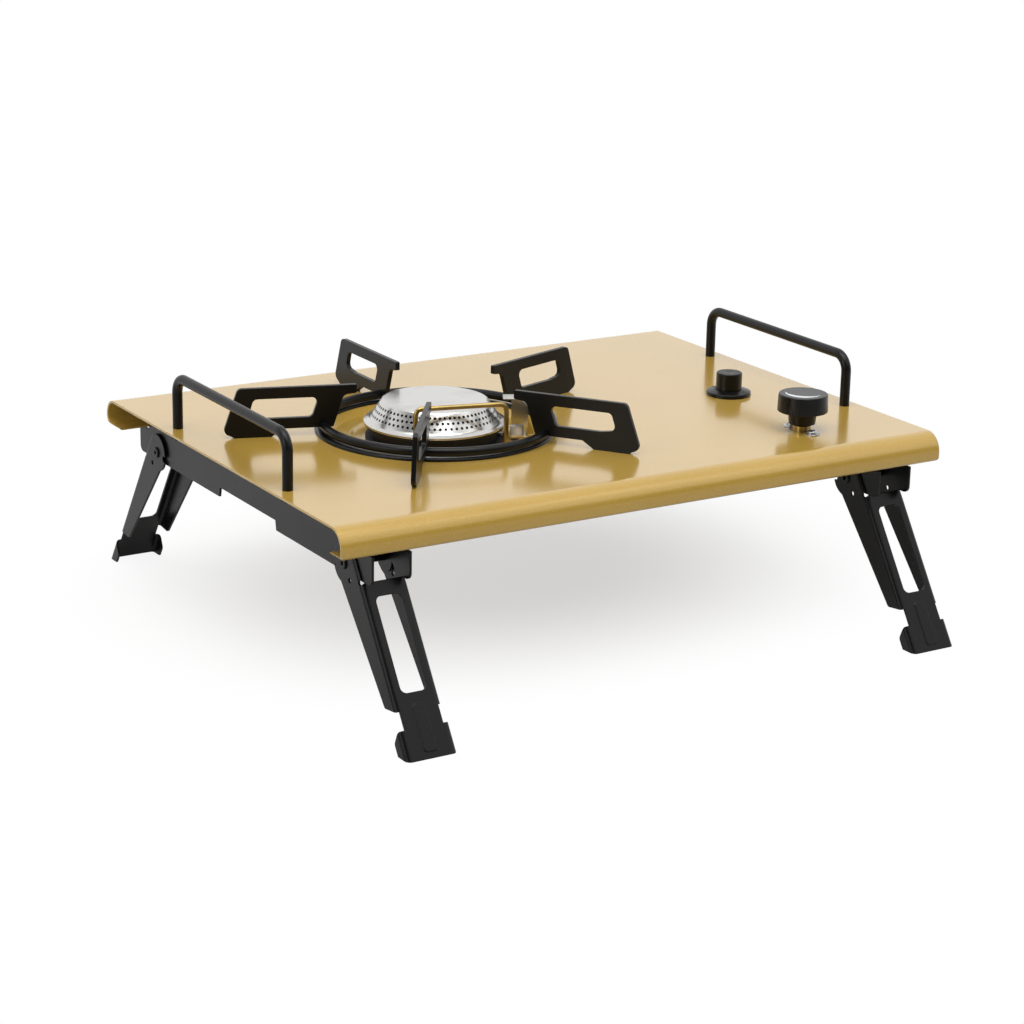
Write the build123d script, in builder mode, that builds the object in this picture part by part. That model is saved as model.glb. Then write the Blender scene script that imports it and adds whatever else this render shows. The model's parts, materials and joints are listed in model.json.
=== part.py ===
from build123d import *
import os
from math import cos, radians, sin

# Portable gas stove on four folding legs.
# Millimetres; the floor is z = 0, +X runs along the length with the controls at +X, the front is -Y.

# Top plate: one bent sheet with a pressed dish round the burner
deck_length = 450.0
deck_depth = 338.0
deck_height = 131.0
deck_sheet = 1.5
deck_bend = 12.5
deck_skirt = 18.5
deck_lip = 16.0
lip_bend = 2.5
skirt_corner = 3.0
back_reach = 4.0
back_bend = 11.0
back_lip_bend = 7.0

# Burner dish, measured from the burner axis
burner_from_end = 159.5
dish_rim_radius = 72.0
dish_rim_round = 2.0
dish_slope = 5.0
dish_ledge_depth = 4.0
dish_ledge_width = 11.0
dish_step = 2.0
dish_floor_depth = 6.0
dish_bore_radius = 30.0
dish_press_radius = 1.2

# Folding legs: pressed channels hinged under the plate
leg_from_end = 35.0
leg_splay = 33.4
leg_width = 31.0
leg_sheet = 1.5
leg_bend = 3.5
hinge_from_edge = 34.0
hinge_drop = 32.0
hinge_to_web = 14.3
hinge_lobe = 12.8
hinge_gap = 0.5
stop_gap = 0.3
web_below_hinge = 17.3
window_width = 17.4
window_low = 41.0
window_below_hinge = 26.6
window_corner = 4.0
foot_height = 19.5
foot_width = 34.5
foot_corner = 3.2
foot_spare = 0.6
ear_depth = 9.6
ear_low_top = 14.2
ear_high_depth = 4.4
ear_high_top = 17.8
ear_corner = 3.0
neck_top = 31.0
neck_inset = 2.5
flange_low_rise = 5.7
flange_low_depth = 13.0
flange_low_corner = 2.5
flange_high_depth = 25.0
flange_notch = 2.2
relief_radius = 1.6
blank_spare = 5.0
rib_width = 9.0
rib_low = 4.0
rib_length = 30.0
rib_height = 0.6
detent_radius = 1.7
detent_below_hinge = 11.6
detent_depth = 13.0

# Hinge pins: tubular rivets
pin_radius = 2.5
pin_bore_radius = 1.5
pin_head_radius = 3.75
pin_head_height = 1.0
pin_head_gap = 0.2
running_clearance = 0.06
seat_clearance = 0.03
edge_break = 0.5

# Side panels and hinge brackets
panel_sheet = 1.5
panel_notch_width = 80.0
panel_notch_depth = 6.4
panel_notch_slope = 1.2
panel_flange = 18.5
panel_flange_inset = 21.0
panel_ear_drop = 2.0
panel_ear_inset = 2.5
stop_inset = 2.5
stop_corner = 4.5
stop_run = 16.5
lip_clearance = 1.5
bracket_rear = 23.0
bracket_rear_drop = 14.0
bracket_flange = 12.0
bracket_lobe = 9.5

# Guard rails: bent rod, threaded at both ends
guard_from_end = 10.5
guard_post_y = 79.5
guard_rise = 34.9
guard_rod_radius = 3.4
guard_bend = 11.0
guard_thread_radius = 2.5
guard_nut_flats = 8.0
guard_nut_height = 3.5
guard_thread_spare = 1.5
bolt_clearance = 0.1

# Trivet: a rod ring carrying five flat pot supports, lying loose a little off the burner's axis
trivet_shift_x = 1.6
trivet_shift_y = -1.0
support_count = 5
support_first_angle = 18.0
support_sheet = 3.0
support_height = 33.0
support_tip_radius = 54.5
support_tip_depth = 5.7
support_hook_reach = 8.6
support_hook_depth = 6.6
support_neck_radius = 70.0
support_clear = 5.2
support_rise_radius = 103.0
support_foot_inner = 111.0
support_foot_outer = 135.0
support_foot_step = 1.5
support_foot_run = 2.5
support_end_radius = 142.6
support_end_height = 3.4
support_top_radius = 132.6
support_corner = 4.0
support_edge_round = 1.0
window_inner_radius = 79.5
window_inner_base = 84.0
window_top_depth = 7.4
window_outer_radius = 122.4
window_outer_base = 126.0
window_base_rise = 12.4
window_round = 3.5
ring_radius = 76.5
ring_rod_radius = 3.0
ring_centre_height = 5.8
weld_clearance = 0.05
trim_outer_radius = 79.5
trim_width = 6.4
trim_height = 2.2
trim_round = 1.6

# Burner: drilled cap on a cast base
cap_top_radius = 35.0
cap_top_height = 20.4
cap_flare_radius = 44.0
cap_flare_height = 7.4
cap_lip_radius = 47.1
cap_lip_height = 6.2
cap_sheet = 1.2
cap_round = 2.5
cap_flare_round = 4.0
port_radius = 0.95
port_count = 72
port_rows = 3
port_first = 0.26
port_step = 0.24
base_flange_radius = 46.0
base_flange_height = 2.5
base_wall_radius = 41.5
base_wall = 2.5
base_bowl_radius = 29.5
base_bowl_drop = 2.5
base_neck_radius = 7.5
base_neck_bore = 6.0
base_neck_drop = 11.5
base_seat_height = 1.6
base_seat_gap = 0.2
base_screw_circle = 43.7
base_screw_count = 3
base_screw_radius = 1.2
base_screw_head_radius = 2.0
base_screw_head_height = 1.4
base_screw_length = 8.0

# Mixing tube with its jet
mixer_radius = 10.0
mixer_wall = 1.5
mixer_drop = 24.5
mixer_mouth_reach = 69.5
mixer_end_reach = 14.0
holder_wall = 1.5
holder_overlap = 12.0
holder_gap = 10.0
holder_plate = 2.5
air_slot_width = 7.0
jet_radius = 3.0
jet_bore_radius = 0.5
jet_reach = 6.0
jet_tip_radius = 1.5
jet_tip_length = 3.0
jet_head_flats = 8.0
jet_head_height = 5.0

# Preheat tube looped over the burner cap
preheat_radius = 1.6
preheat_bend = 4.5
preheat_height = 26.0
preheat_jet_radius = 50.0
preheat_jet_angle = 225.6
preheat_feed_radius = 56.4
preheat_feed_angle = 295.1
preheat_turn_reach = 98.5
preheat_hole_clearance = 0.6
union_radius = 5.0
union_length = 12.0
union_drop = 8.5
union_socket = 6.0

# Gas valve, pipes and inlet
valve_from_end = 76.0
valve_from_edge = 52.0
valve_width = 28.0
valve_length = 34.0
valve_height = 22.0
valve_chamfer = 1.5
valve_screw_offset = 11.7
valve_screw_radius = 2.0
valve_screw_head_radius = 3.1
valve_screw_head_height = 2.8
valve_screw_length = 9.0
screw_slot_width = 0.9
screw_slot_depth = 0.9
gland_radius = 6.0
gland_rise = 4.3
gland_depth = 10.0
stem_radius = 3.0
stem_flat = 2.2
stem_low = 8.0
stem_high = 20.0
pipe_radius = 2.5
pipe_bore_radius = 1.7
pipe_bend = 10.0
pipe_socket = 5.0
feed_drop = 14.0
supply_drop = 19.5
inlet_y = 30.0
inlet_barrel_radius = 6.0
inlet_barrel_length = 9.0
inlet_hex_flats = 15.0
inlet_hex_height = 5.5
inlet_tail_radius = 4.5
inlet_tail_length = 13.0
inlet_tail_bore = 2.6
inlet_nut_height = 4.0

# Control knob
knob_radius_low = 16.8
knob_radius_high = 16.4
knob_low = 13.5
knob_high = 25.5
knob_round = 1.0
knob_neck_low = 5.1
knob_neck_radius_low = 8.85
knob_neck_radius_high = 9.75
knob_bore_roof = 1.0
knob_flute_count = 36
knob_flute_radius = 0.9
knob_flute_depth = 0.2

# Igniter: collar, button and sealed piezo body
igniter_from_end = 64.0
igniter_y = -17.5
collar_radius = 15.5
collar_rim = 2.6
collar_dome = 4.0
collar_round = 0.8
barrel_radius = 10.5
barrel_drop = 9.5
button_radius = 9.0
button_high = 16.0
button_low = 4.0
button_round = 1.0
button_dish = 0.5
button_travel = 6.0
plunger_radius = 3.0
plunger_length = 6.0
plunger_spare = 2.0
piezo_radius = 9.5
piezo_height = 24.0
igniter_nut_flats = 27.0
igniter_nut_height = 4.0
terminal_radius = 1.6
terminal_length = 4.0
terminal_drop = 13.0
lead_radius = 1.25
lead_turn_reach = 16.0
lead_dip = 10.0
lead_bend = 4.0
clip_width = 6.0
clip_sheet = 1.0

# Ignition electrode inside its hood
electrode_angle = -30.0
electrode_radius = 54.4
electrode_height = 17.5
insulator_radius = 3.0
insulator_tail = 14.0
insulator_collar_radius = 4.6
insulator_collar_height = 6.5
electrode_wire_radius = 0.8
electrode_wire_depth = 10.0
hood_width = 12.3
hood_sheet = 0.8
hood_roof_front = 44.7
hood_wall_front = 50.5
hood_wall_low = 5.3
hood_back = 61.2
hood_height = 22.4
hood_round = 8.0
bracket_plate = 1.0
bracket_front = 49.6
bracket_back = 66.0
bracket_width = 14.0
gusset_height = 13.0
gusset_sheet = 1.5
gusset_gap = 0.1
electrode_screw_offset = 4.4
electrode_screw_radius = 1.2
electrode_screw_head_radius = 2.0
electrode_screw_head_height = 1.4
electrode_screw_length = 6.0

# Levels and centres that several pieces share
top = deck_height
under = top - deck_sheet
half_length = deck_length / 2
half_depth = deck_depth / 2
burner_x = burner_from_end - half_length
mixer_mouth_x = burner_x - mixer_mouth_reach
preheat_turn_x = burner_x - preheat_turn_reach
leg_x = half_length - leg_from_end
hinge_y = half_depth - hinge_from_edge
panel_flange_length = deck_depth - 2 * panel_flange_inset
guard_x = half_length - guard_from_end
valve_x = half_length - valve_from_end
valve_y = valve_from_edge - half_depth
igniter_x = half_length - igniter_from_end
hinge_z = top - hinge_drop
mixer_z = top - mixer_drop
feed_z = top - feed_drop
supply_z = top - supply_drop
burner_axis = Axis((burner_x, 0, 0), (0, 0, 1))
burner_section = Plane(origin=(burner_x, 0, top), x_dir=(1, 0, 0), z_dir=(0, -1, 0))
trivet_x = burner_x + trivet_shift_x
trivet_axis = Axis((trivet_x, trivet_shift_y, 0), (0, 0, 1))
trivet_section = Plane(origin=(trivet_x, trivet_shift_y, top), x_dir=(1, 0, 0), z_dir=(0, -1, 0))
valve_section = Plane(origin=(valve_x, valve_y, top), x_dir=(1, 0, 0), z_dir=(0, -1, 0))
valve_axis = Axis((valve_x, valve_y, 0), (0, 0, 1))
igniter_section = Plane(origin=(igniter_x, igniter_y, top), x_dir=(1, 0, 0), z_dir=(0, -1, 0))
igniter_axis = Axis((igniter_x, igniter_y, 0), (0, 0, 1))


def round_burner(radius, angle, height=0.0):
    spot_x = burner_x + radius * cos(radians(angle))
    spot_y = radius * sin(radians(angle))
    return (spot_x, spot_y, top + height)


# The leg's web leans outward; s runs up the web from the floor, d runs inward from its outer face
splay_sin = sin(radians(leg_splay))
splay_cos = cos(radians(leg_splay))
hinge_s = (hinge_z + hinge_to_web * splay_sin) / splay_cos
foot_reach = hinge_y + hinge_s * splay_sin + hinge_to_web * splay_cos
web_top = hinge_s - web_below_hinge
web_plane = Plane(
    origin=(leg_x, -foot_reach, 0),
    x_dir=(1, 0, 0),
    z_dir=(0, -splay_cos, splay_sin),
)
side_plane = Plane(
    origin=(leg_x, -foot_reach, 0),
    x_dir=(0, splay_sin, splay_cos),
    z_dir=(-1, 0, 0),
)
section_plane = Plane(
    origin=(leg_x, -foot_reach, 0),
    x_dir=(1, 0, 0),
    z_dir=(0, splay_sin, splay_cos),
)
hinge_plane = Plane(
    origin=(leg_x, -hinge_y, hinge_z),
    x_dir=(0, 1, 0),
    z_dir=(1, 0, 0),
)
leg_inner_x = leg_x - leg_width / 2
leg_outer_x = leg_x + leg_width / 2
panel_x = leg_outer_x - leg_sheet - hinge_gap
cheek_x = leg_inner_x + leg_sheet + hinge_gap
stop_bottom = web_top * splay_cos + stop_gap
stop_y = half_depth - stop_inset
lip_y = half_depth - deck_lip - lip_clearance
slot_top = top - deck_skirt + deck_sheet + 3 * lip_clearance
slot_bottom = top - deck_skirt - lip_clearance

guard_spots = [
    (guard_x, guard_post_y),
    (guard_x, -guard_post_y),
    (-guard_x, guard_post_y),
    (-guard_x, -guard_post_y),
]
base_screw_spots = []
for screw_number in range(base_screw_count):
    screw_angle = 90.0 + screw_number * 360.0 / base_screw_count
    screw_spot = round_burner(base_screw_circle, screw_angle)
    base_screw_spots.append((screw_spot[0], screw_spot[1]))
valve_screw_spots = [
    (valve_x, valve_y - valve_screw_offset),
    (valve_x, valve_y + valve_screw_offset),
]
preheat_jet_spot = round_burner(preheat_jet_radius, preheat_jet_angle)
preheat_feed_spot = round_burner(preheat_feed_radius, preheat_feed_angle)

# Electrode frame: local x runs away from the burner axis, local y is up
electrode_dir = (cos(radians(electrode_angle)), sin(radians(electrode_angle)), 0)
electrode_side = (-electrode_dir[1], electrode_dir[0], 0)
electrode_section = Plane(
    origin=(burner_x, 0, top),
    x_dir=electrode_dir,
    z_dir=(electrode_dir[1], -electrode_dir[0], 0),
)
electrode_spot = round_burner(electrode_radius, electrode_angle)
insulator_low = round_burner(electrode_radius, electrode_angle, -insulator_tail)
electrode_screw_radius_at = (hood_back + bracket_back) / 2
electrode_screw_centre = (
    burner_x + electrode_screw_radius_at * electrode_dir[0] + electrode_screw_offset * electrode_side[0],
    electrode_screw_radius_at * electrode_dir[1] + electrode_screw_offset * electrode_side[1],
)

dish_bore = dish_bore_radius
dish_ledge_outer = dish_rim_radius - dish_slope
dish_ledge_inner = dish_ledge_outer - dish_ledge_width
dish_floor_outer = dish_ledge_inner - dish_step
dish_line = [
    (dish_rim_radius + 2 * dish_rim_round, 0),
    (dish_rim_radius, 0),
    (dish_ledge_outer, -dish_ledge_depth),
    (dish_ledge_inner, -dish_ledge_depth),
    (dish_floor_outer, -dish_floor_depth),
    (dish_bore, -dish_floor_depth),
]
dish_underline = [(radius, height - deck_sheet) for radius, height in reversed(dish_line)]

with BuildPart() as top_plate:
    with BuildSketch(Plane.YZ) as plate_section:
        with Locations((back_reach / 2, top)):
            Rectangle(deck_depth + back_reach, deck_skirt, align=(Align.CENTER, Align.MAX))
        fillet(plate_section.vertices().group_by(Axis.Y)[-1].sort_by(Axis.X)[0], deck_bend)
        fillet(plate_section.vertices().group_by(Axis.Y)[-1].sort_by(Axis.X)[-1], back_bend)
        fillet(plate_section.vertices().group_by(Axis.Y)[0].sort_by(Axis.X)[0], lip_bend)
        fillet(plate_section.vertices().group_by(Axis.Y)[0].sort_by(Axis.X)[-1], back_lip_bend)
        offset(amount=-deck_sheet, mode=Mode.SUBTRACT)
        with Locations((0, top - deck_skirt)):
            Rectangle(deck_depth - 2 * deck_lip, 3 * deck_sheet, mode=Mode.SUBTRACT)
    extrude(amount=half_length, both=True)
    with BuildSketch(Plane.XZ) as plate_outline:
        with Locations((0, top)):
            Rectangle(deck_length, deck_skirt, align=(Align.CENTER, Align.MAX))
        fillet(plate_outline.vertices().group_by(Axis.Y)[0], skirt_corner)
    extrude(amount=deck_depth, both=True, mode=Mode.INTERSECT)
    with BuildSketch(Plane.XY.offset(top)):
        with Locations((burner_x, 0)):
            Circle(dish_rim_radius + 2 * dish_rim_round)
    extrude(amount=-deck_sheet, mode=Mode.SUBTRACT)
    with BuildSketch(burner_section) as dish_section:
        with BuildLine():
            Polyline(*dish_line, *dish_underline, close=True)
        make_face()
        dish_corners = dish_section.vertices().filter_by_position(
            Axis.X, dish_bore + dish_press_radius, dish_rim_radius + dish_press_radius
        )
        fillet(dish_corners, dish_press_radius)
    revolve(axis=burner_axis)
    with BuildSketch(Plane.XY.offset(top)):
        with Locations(*guard_spots):
            Circle(guard_thread_radius + bolt_clearance)
        with Locations((valve_x, valve_y)):
            Circle(gland_radius + bolt_clearance)
        with Locations(*valve_screw_spots):
            Circle(valve_screw_radius + bolt_clearance)
        with Locations((igniter_x, igniter_y)):
            Circle(barrel_radius + bolt_clearance)
        with Locations(*base_screw_spots):
            Circle(base_screw_radius + bolt_clearance)
        with Locations(preheat_jet_spot[:2], preheat_feed_spot[:2]):
            Circle(preheat_radius + preheat_hole_clearance)
        with Locations(electrode_spot[:2]):
            Circle(insulator_radius + preheat_hole_clearance)
        with Locations(electrode_screw_centre):
            Circle(electrode_screw_radius + bolt_clearance)
    extrude(amount=-(dish_floor_depth + 2 * deck_sheet), mode=Mode.SUBTRACT)

# Side panel: a sheet under each end of the plate, turned outward along its top
panel_plane = Plane(origin=(panel_x, 0, 0), x_dir=(0, 1, 0), z_dir=(1, 0, 0))
panel_ear_y = half_depth - deck_sheet - panel_ear_inset
panel_bend_y = half_depth - deck_bend
notch_half = panel_notch_width / 2
panel_half_line = [
    (0, under),
    (panel_flange_length / 2, under),
    (panel_bend_y, under - panel_ear_drop),
    (panel_ear_y, under - deck_bend / 2),
    (panel_ear_y, slot_top),
    (lip_y, slot_top),
    (lip_y, slot_bottom),
    (stop_y, slot_bottom),
    (stop_y, stop_bottom),
    (notch_half + panel_notch_slope, stop_bottom),
    (notch_half, stop_bottom + panel_notch_depth),
    (0, stop_bottom + panel_notch_depth),
]
panel_rounds = [0, 0, 0, 0, 0, 0, 0, 0, stop_corner, 0, 0, 0]
with BuildPart() as right_side_panel:
    with BuildSketch(panel_plane):
        with BuildLine():
            FilletPolyline(*panel_half_line, radius=panel_rounds, close=True)
        make_face()
        mirror(about=Plane.YZ)
        with Locations((hinge_y, hinge_z), (-hinge_y, hinge_z)):
            Circle(pin_radius + seat_clearance, mode=Mode.SUBTRACT)
        with Locations((inlet_y, supply_z)):
            Circle(inlet_barrel_radius + bolt_clearance, mode=Mode.SUBTRACT)
    extrude(amount=-panel_sheet)
    with BuildSketch(Plane.XY.offset(under)):
        with Locations((panel_x - panel_sheet, 0)):
            Rectangle(
                panel_sheet + panel_flange,
                panel_flange_length,
                align=(Align.MIN, Align.CENTER),
            )
        with Locations((guard_x, guard_post_y), (guard_x, -guard_post_y)):
            Circle(guard_thread_radius + bolt_clearance, mode=Mode.SUBTRACT)
    extrude(amount=-panel_sheet)

with BuildPart() as left_side_panel:
    with BuildSketch(panel_plane.offset(-2 * panel_x)):
        with BuildLine():
            FilletPolyline(*panel_half_line, radius=panel_rounds, close=True)
        make_face()
        mirror(about=Plane.YZ)
        with Locations((hinge_y, hinge_z), (-hinge_y, hinge_z)):
            Circle(pin_radius + seat_clearance, mode=Mode.SUBTRACT)
    extrude(amount=panel_sheet)
    with BuildSketch(Plane.XY.offset(under)):
        with Locations((panel_sheet - panel_x, 0)):
            Rectangle(
                panel_sheet + panel_flange,
                panel_flange_length,
                align=(Align.MAX, Align.CENTER),
            )
        with Locations((-guard_x, guard_post_y), (-guard_x, -guard_post_y)):
            Circle(guard_thread_radius + bolt_clearance, mode=Mode.SUBTRACT)
    extrude(amount=-panel_sheet)

# Hinge bracket: inner cheek with a flange welded under the plate and an ear that stops the leg
cheek_plane = Plane(origin=(cheek_x, 0, 0), x_dir=(0, 1, 0), z_dir=(1, 0, 0))
bracket_rear_y = -hinge_y + bracket_rear
cheek_line = [
    (-lip_y, under),
    (-lip_y, slot_bottom),
    (-stop_y, slot_bottom),
    (-stop_y, stop_bottom),
    (-stop_y + stop_run, stop_bottom),
    (-hinge_y - bracket_lobe, hinge_z),
    (-hinge_y + bracket_lobe, hinge_z),
    (bracket_rear_y, top - bracket_rear_drop),
    (bracket_rear_y, under),
]
cheek_rounds = [0, 0, 0, stop_corner, 0, 0, 0, 0, 0]
with BuildPart() as hinge_bracket_front_right:
    with BuildSketch(cheek_plane):
        with BuildLine():
            FilletPolyline(*cheek_line, radius=cheek_rounds, close=True)
        make_face()
        with Locations((-hinge_y, hinge_z)):
            Circle(bracket_lobe)
            Circle(pin_radius + seat_clearance, mode=Mode.SUBTRACT)
    extrude(amount=panel_sheet)
    with BuildSketch(Plane.XY.offset(under)):
        with Locations((cheek_x + panel_sheet, -lip_y)):
            Rectangle(
                panel_sheet + bracket_flange,
                lip_y + bracket_rear_y,
                align=(Align.MAX, Align.MIN),
            )
    extrude(amount=-panel_sheet)

with BuildPart() as hinge_bracket_front_left:
    mirror(hinge_bracket_front_right.part, about=Plane.YZ)

with BuildPart() as hinge_bracket_back_right:
    mirror(hinge_bracket_front_right.part, about=Plane.XZ)

with BuildPart() as hinge_bracket_back_left:
    mirror(hinge_bracket_front_left.part, about=Plane.XZ)

# Hinge pin: tubular rivet through the leg's flanges, the bracket and the panel
pin_inner_x = leg_inner_x - pin_head_gap
pin_outer_x = leg_outer_x + pin_head_gap
with BuildPart() as hinge_pin_front_right:
    with BuildSketch(hinge_plane.offset(pin_inner_x - leg_x)):
        Circle(pin_radius)
    extrude(amount=pin_outer_x - pin_inner_x)
    with BuildSketch(hinge_plane.offset(pin_inner_x - leg_x)):
        Circle(pin_head_radius)
    extrude(amount=-pin_head_height)
    with BuildSketch(hinge_plane.offset(pin_outer_x - leg_x)):
        Circle(pin_head_radius)
    extrude(amount=pin_head_height)
    head_rims = hinge_pin_front_right.faces().filter_by(Axis.X).sort_by(Axis.X)
    chamfer([head_rims[0].edges(), head_rims[-1].edges()], pin_head_height / 2)
    with BuildSketch(hinge_plane):
        Circle(pin_bore_radius)
    extrude(amount=leg_width, both=True, mode=Mode.SUBTRACT)

with BuildPart() as hinge_pin_front_left:
    mirror(hinge_pin_front_right.part, about=Plane.YZ)

with BuildPart() as hinge_pin_back_right:
    mirror(hinge_pin_front_right.part, about=Plane.XZ)

with BuildPart() as hinge_pin_back_left:
    mirror(hinge_pin_front_left.part, about=Plane.XZ)

# Folding leg: a pressed channel cut to its side outline and its front outline
leg_half = leg_width / 2
flange_reach = hinge_to_web + hinge_lobe + blank_spare
leg_length = hinge_s + hinge_lobe + blank_spare
window_high = hinge_s - window_below_hinge
side_line = [
    (-blank_spare, -blank_spare),
    (-blank_spare, ear_depth),
    (ear_low_top, ear_depth),
    (ear_high_top, ear_high_depth),
    (foot_height, leg_sheet),
    (neck_top, leg_sheet),
    (neck_top + flange_low_rise, flange_low_depth),
    (hinge_s, flange_high_depth),
    (hinge_s, hinge_to_web - hinge_lobe),
    (web_top, -blank_spare),
]
side_rounds = [0, 0, ear_corner, ear_corner, 0, 0, flange_low_corner, 0, 0, 0]
notch_spot = (hinge_s + 2 * flange_notch, hinge_to_web + hinge_lobe - flange_notch)
channels = [(leg_width, foot_height, leg_length), (foot_width, -blank_spare, foot_height)]
with BuildPart() as leg_front_right:
    for channel_width, channel_low, channel_high in channels:
        with BuildSketch(section_plane.offset(channel_low)) as channel_section:
            Rectangle(channel_width, flange_reach, align=(Align.CENTER, Align.MIN))
            fillet(channel_section.vertices().group_by(Axis.Y)[0], leg_bend)
            with Locations((0, leg_sheet)):
                Rectangle(
                    channel_width - 2 * leg_sheet,
                    flange_reach,
                    align=(Align.CENTER, Align.MIN),
                    mode=Mode.SUBTRACT,
                )
            inner_corners = channel_section.vertices().group_by(Axis.Y)[1]
            fillet(inner_corners, leg_bend - leg_sheet)
        extrude(amount=channel_high - channel_low)
    with BuildSketch(side_plane):
        with BuildLine():
            FilletPolyline(*side_line, radius=side_rounds, close=True)
        make_face()
        with Locations((hinge_s, hinge_to_web)):
            Circle(hinge_lobe)
        with Locations(notch_spot):
            Circle(flange_notch, mode=Mode.SUBTRACT)
        with Locations((hinge_s, hinge_to_web)):
            Circle(pin_radius + running_clearance, mode=Mode.SUBTRACT)
        with Locations((hinge_s - detent_below_hinge, detent_depth)):
            Circle(detent_radius, mode=Mode.SUBTRACT)
        with Locations((web_top + relief_radius / 2, relief_radius)):
            Circle(relief_radius, mode=Mode.SUBTRACT)
    extrude(amount=leg_width, both=True, mode=Mode.INTERSECT)
    with BuildSketch(web_plane.offset(blank_spare)) as web_outline:
        with Locations((0, -foot_spare)):
            Rectangle(foot_width, foot_height + foot_spare, align=(Align.CENTER, Align.MIN))
        fillet(web_outline.vertices().group_by(Axis.Y)[0], foot_corner)
        with Locations((0, foot_height)):
            Rectangle(
                leg_width - 2 * neck_inset,
                neck_top - foot_height,
                align=(Align.CENTER, Align.MIN),
            )
        with Locations((0, neck_top)):
            Rectangle(
                leg_width + blank_spare,
                leg_length - neck_top,
                align=(Align.CENTER, Align.MIN),
            )
        with Locations((0, (window_low + window_high) / 2)):
            RectangleRounded(
                window_width,
                window_high - window_low,
                window_corner,
                mode=Mode.SUBTRACT,
            )
        with Locations((0, web_top)):
            Rectangle(
                leg_width - 2 * leg_sheet,
                leg_length,
                align=(Align.CENTER, Align.MIN),
                mode=Mode.SUBTRACT,
            )
    extrude(amount=-2 * flange_reach, mode=Mode.INTERSECT)
    with BuildSketch(web_plane):
        with Locations((0, rib_low + rib_length / 2)):
            RectangleRounded(rib_width, rib_length, rib_width / 4)
    extrude(amount=rib_height, taper=40)
    split(bisect_by=Plane.XY, keep=Keep.TOP)

with BuildPart() as leg_front_left:
    mirror(leg_front_right.part, about=Plane.YZ)

with BuildPart() as leg_back_right:
    mirror(leg_front_right.part, about=Plane.XZ)

with BuildPart() as leg_back_left:
    mirror(leg_front_left.part, about=Plane.XZ)

# Guard rails with their nuts
guard_low = under - panel_sheet - guard_nut_height - guard_thread_spare


def guard_line(rail_x):
    return [
        (rail_x, -guard_post_y, top),
        (rail_x, -guard_post_y, top + guard_rise),
        (rail_x, guard_post_y, top + guard_rise),
        (rail_x, guard_post_y, top),
    ]


with BuildPart() as right_guard_rail:
    with BuildLine() as right_guard_path:
        FilletPolyline(*guard_line(guard_x), radius=guard_bend)
    with BuildSketch(Plane.XY.offset(top)):
        with Locations((guard_x, -guard_post_y)):
            Circle(guard_rod_radius)
    sweep()
    with BuildSketch(Plane.XY.offset(guard_low)):
        with Locations((guard_x, -guard_post_y), (guard_x, guard_post_y)):
            Circle(guard_thread_radius)
    extrude(amount=top - guard_low)

with BuildPart() as left_guard_rail:
    mirror(right_guard_rail.part, about=Plane.YZ)

with BuildPart() as guard_nuts:
    with BuildSketch(Plane.XY.offset(under - panel_sheet)):
        with Locations(*guard_spots):
            RegularPolygon(guard_nut_flats / 2, 6, major_radius=False)
            Circle(guard_thread_radius + seat_clearance, mode=Mode.SUBTRACT)
    extrude(amount=-guard_nut_height)

# Trim ring lying round the dish
with BuildPart() as trim_ring:
    with BuildSketch(burner_section) as trim_section:
        with Locations((trim_outer_radius, 0)):
            Rectangle(trim_width, trim_height, align=(Align.MAX, Align.MIN))
        fillet(trim_section.vertices().group_by(Axis.Y)[-1], trim_round)
    revolve(axis=burner_axis)

# Trivet ring and the pot supports welded over it
with BuildPart() as trivet_ring:
    with BuildSketch(trivet_section):
        with Locations((ring_radius, ring_centre_height)):
            Circle(ring_rod_radius)
    revolve(axis=trivet_axis)

support_line = [
    (support_tip_radius, support_height),
    (support_top_radius, support_height),
    (support_end_radius, support_end_height),
    (support_foot_outer + support_foot_run, support_foot_step),
    (support_foot_outer, 0),
    (support_foot_inner, 0),
    (support_rise_radius, support_clear),
    (support_neck_radius, support_clear),
    (support_tip_radius + support_hook_reach, support_height - support_hook_depth),
    (support_tip_radius, support_height - support_tip_depth),
]
support_rounds = [
    support_edge_round,
    support_corner,
    support_corner,
    0,
    0,
    0,
    support_edge_round,
    support_edge_round,
    support_corner,
    support_edge_round,
]
support_window = [
    (window_inner_radius, support_height - window_top_depth),
    (window_outer_radius, support_height - window_top_depth),
    (window_outer_base, window_base_rise + window_round / 2),
    (support_foot_inner + support_corner, window_base_rise),
    (window_inner_base, window_base_rise),
]
window_rounds = [window_round, window_round, window_round, 0, window_round]


def pot_support(angle):
    facing = radians(angle)
    plane = Plane(
        origin=(trivet_x, trivet_shift_y, top),
        x_dir=(cos(facing), sin(facing), 0),
        z_dir=(sin(facing), -cos(facing), 0),
    )
    with BuildPart() as support:
        with BuildSketch(plane):
            with BuildLine():
                FilletPolyline(*support_line, radius=support_rounds, close=True)
            make_face()
            with BuildLine():
                FilletPolyline(*support_window, radius=window_rounds, close=True)
            make_face(mode=Mode.SUBTRACT)
        extrude(amount=support_sheet / 2, both=True)
        with BuildSketch(trivet_section):
            with Locations((ring_radius, ring_centre_height)):
                Circle(ring_rod_radius + weld_clearance)
        revolve(axis=trivet_axis, mode=Mode.SUBTRACT)
    return support.part


pot_supports = []
for support_number in range(support_count):
    support_angle = support_first_angle + support_number * 360.0 / support_count
    pot_supports.append(pot_support(support_angle))

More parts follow.
